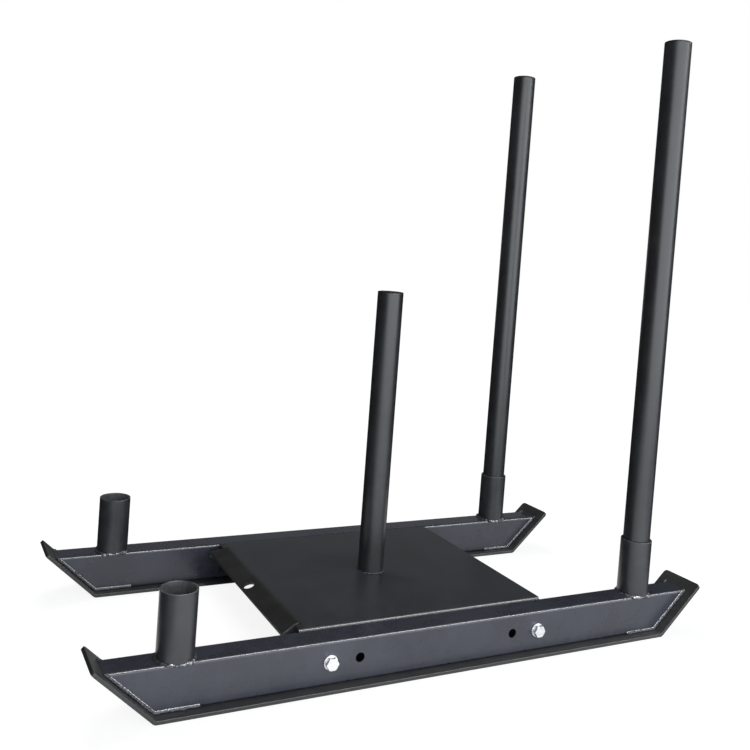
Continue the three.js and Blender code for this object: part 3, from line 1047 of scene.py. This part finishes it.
weldLook = {
    "pitch": 0.0031,        # from one ripple to the next
    "wander": 0.0005,
    "spread": 0.22,        # how much a ripple's width varies
    "voxel": 0.0007,
    "ripple": (1.15, 1, 0.85),        # a ripple's length, width and height as shares of its width
    "leg": 0.0042,        # how far a fillet climbs the rail
    "fullness": 0.62,        # a fillet ripple's radius, as a share of the leg
    "toePitch": 0.0011,
    "toeWander": 0.0003,
    "toeWidth": 0.0021,
    "toeSpread": 0.12,
    "toeSkin": 0.0002,        # how far it stands out from the rail
    "toeVoxel": 0.0005,
    "shortfall": {1: 0.9, -1: 2.4},        # in legs, short of the top, outside and inside the ski
    "socketWidth": 0.0058,
    "ledgeWidth": 0.0072,
    "ledgeWander": 0.0009,
    "ledgeSpread": 0.35,
    "ledgeInset": (0.002, 0.0004),        # in from the rail's side: where a ledge bead starts, and lies
    "ledgeDrop": 0.0012,
    "postWidth": 0.0030,
    "socketLift": 0.0002,
    "postLift": 0.0006,
    "standOff": 0.1,        # the middle of a foot's bead lies this share of its width outside the tube
    "stitchLength": 0.068,        # of a corner's weld along the rail's foot
    "spatter": 3,        # specks round each outer corner
    "spatterWidth": 0.0011,
    "spatterRise": (0.008, 0.035),
}


rippleLook = {"segments": 20, "rings": 10, "dishFrom": 0.32, "dishInset": 0.06, "dishDepth": 0.1}


def makeRipple(look):        # one frozen ripple of a bead, 1 across, dished where the puddle stopped
    deselectAll()
    bpy.ops.mesh.primitive_uv_sphere_add(segments=look["segments"], ring_count=look["rings"], radius=0.5)
    ripple = namePiece("weldRipple")
    pickFaces(ripple, lambda centre, normal: centre.x > look["dishFrom"])
    bpy.ops.mesh.inset(thickness=look["dishInset"])
    bpy.ops.transform.translate(value=(-look["dishDepth"], 0, 0))
    closePiece()
    return ripple


weldRipple = makeRipple(rippleLook)


def layRipple(name, place, along, width):
    ripple = copyPiece(weldRipple, name)
    turn = along.to_track_quat("X", "Z").to_matrix().to_4x4()
    size = Matrix.Diagonal([width * share for share in weldLook["ripple"]] + [1])
    ripple.data.transform(Matrix.Translation(place) @ turn @ size)
    return ripple


def layBead(name, path, width, chance, wander, spread=weldLook["spread"]):        # path: place and direction
    ripples = []
    for place, along in path:
        drift = Vector([chance.uniform(-1, 1) * wander for axis in range(3)])
        ripples.append(layRipple(name, place + drift, along, width * chance.uniform(1 - spread, 1 + spread)))
    return ripples


def straightPath(start, end, pitch=weldLook["pitch"]):
    steps = max(2, round((end - start).length / pitch))
    return [(start.lerp(end, step / steps), (end - start).normalized()) for step in range(steps + 1)]


def finishWeld(name, ripples, paint, specks=(), voxel=weldLook["voxel"]):
    bead = joinPieces(name, ripples)
    applyModifier(bead, "REMESH", {"mode": "VOXEL", "voxel_size": voxel})
    applyModifier(bead, "SMOOTH", {"factor": 0.5, "iterations": 2})
    if specks:
        bead = joinPieces(name, [bead, *specks])
    return finishPiece(bead, paint, "sled", smooth=80)


def weldCorner(side, end, face, look):        # a fillet up a mitre and along the rail, with a bright toe
    railLow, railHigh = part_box(f"{side}_rail")
    way = 1 if end == "rear" else -1
    outward = skis[side] * face
    y = railHigh.y if outward > 0 else railLow.y
    foot = Vector((way * (railHigh.x - (railHigh.z - railLow.z) / math.tan(mitre)), y, railLow.z))
    head = Vector((way * railHigh.x, y, railHigh.z))
    heel = foot - Vector((way * look["stitchLength"], 0, 0))
    name = f"{side}{end.title()}{'Outer' if face > 0 else 'Inner'}"
    chance = random.Random(name)
    upward = Vector((way * slope.x, 0, slope.z))
    climb = Vector((-way * slope.z, 0, slope.x)) * look["leg"]        # square to the skid plate's slope
    rise = Vector((0, 0, look["leg"]))
    inset = 1 - look["fullness"]        # the share of the leg at which the fillet's core runs
    core = straightPath(foot + climb * inset, head + (climb - upward * look["leg"]) * inset)
    core += straightPath(foot + rise * inset, heel + rise * inset)
    fillet = layBead(name, core, look["leg"] * 2 * look["fullness"], chance, look["wander"])
    finishWeld(f"{name}FilletWeld", fillet, coatedWeld)
    bend = foot + Vector((-way * look["leg"] * math.tan(mitre / 2), 0, look["leg"]))
    skin = Vector((0, outward * look["toeSkin"], 0))
    shortfall = look["leg"] * look["shortfall"][face]
    toe = straightPath(bend + skin, head + climb - upward * shortfall + skin, look["toePitch"])
    toe += straightPath(bend + skin, heel + rise + skin, look["toePitch"])
    specks = []
    for _ in range(look["spatter"] if face > 0 else 0):
        place = foot.lerp(heel, chance.uniform(0.0, 1.3))
        place.z += chance.uniform(*look["spatterRise"])
        width = look["spatterWidth"] * chance.uniform(0.4, 1)
        specks.append(layRipple(name, place, Vector((1, 0, 0)), width))
    line = layBead(name, toe, look["toeWidth"], chance, look["toeWander"], look["toeSpread"])
    finishWeld(f"{name}WeldToe", line, bareWeld, specks, look["toeVoxel"])


def footPath(node, width, lift, look):        # round a tube's foot, a little above it
    low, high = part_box(node)
    middle = (low + high) / 2
    radius = (high.x - low.x) / 2 + width * look["standOff"]
    steps = round(2 * math.pi * radius / look["pitch"])
    path = []
    for step in range(steps):
        angle = 2 * math.pi * step / steps
        outward = Vector((math.cos(angle), math.sin(angle), 0))
        place = Vector((middle.x, middle.y, low.z + lift)) + outward * radius
        path.append((place, Vector((-outward.y, outward.x, 0))))
    return path


def weldSocket(side, end, look):        # round a socket's foot, with a ledge bead along the rail's sides
    railLow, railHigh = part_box(f"{side}_rail")
    middleY = (railLow.y + railHigh.y) / 2
    half = (railHigh.y - railLow.y) / 2
    path = []
    ledge = []
    for place, along in footPath(f"{side}_{end}_socket", look["socketWidth"], look["socketLift"], look):
        across = place.y - middleY
        if abs(across) < half - look["ledgeInset"][0]:
            path.append((place, along))
        else:
            place.y = middleY + math.copysign(half - look["ledgeInset"][1], across)
            place.z -= look["ledgeDrop"]
            ledge.append((place, Vector((along.x, 0, 0)).normalized()))
    name = f"{side}{end.title()}SocketWeld"
    chance = random.Random(name)
    bead = layBead(name, path, look["socketWidth"], chance, look["wander"])
    bead += layBead(name, ledge, look["ledgeWidth"], chance, look["ledgeWander"], look["ledgeSpread"])
    finishWeld(name, bead, socketFootWeld)


def weldPost(look):
    path = footPath("weight_post", look["postWidth"], look["postLift"], look)
    bead = layBead("post", path, look["postWidth"], random.Random("post"), look["wander"])
    finishWeld("postFootWeld", bead, coatedWeld)


for side in skis:
    for end in ("front", "rear"):
        for face in (-1, 1):
            weldCorner(side, end, face, weldLook)
        weldSocket(side, end, weldLook)
weldPost(weldLook)
bpy.data.objects.remove(weldRipple, do_unlink=True)
print("welds made")
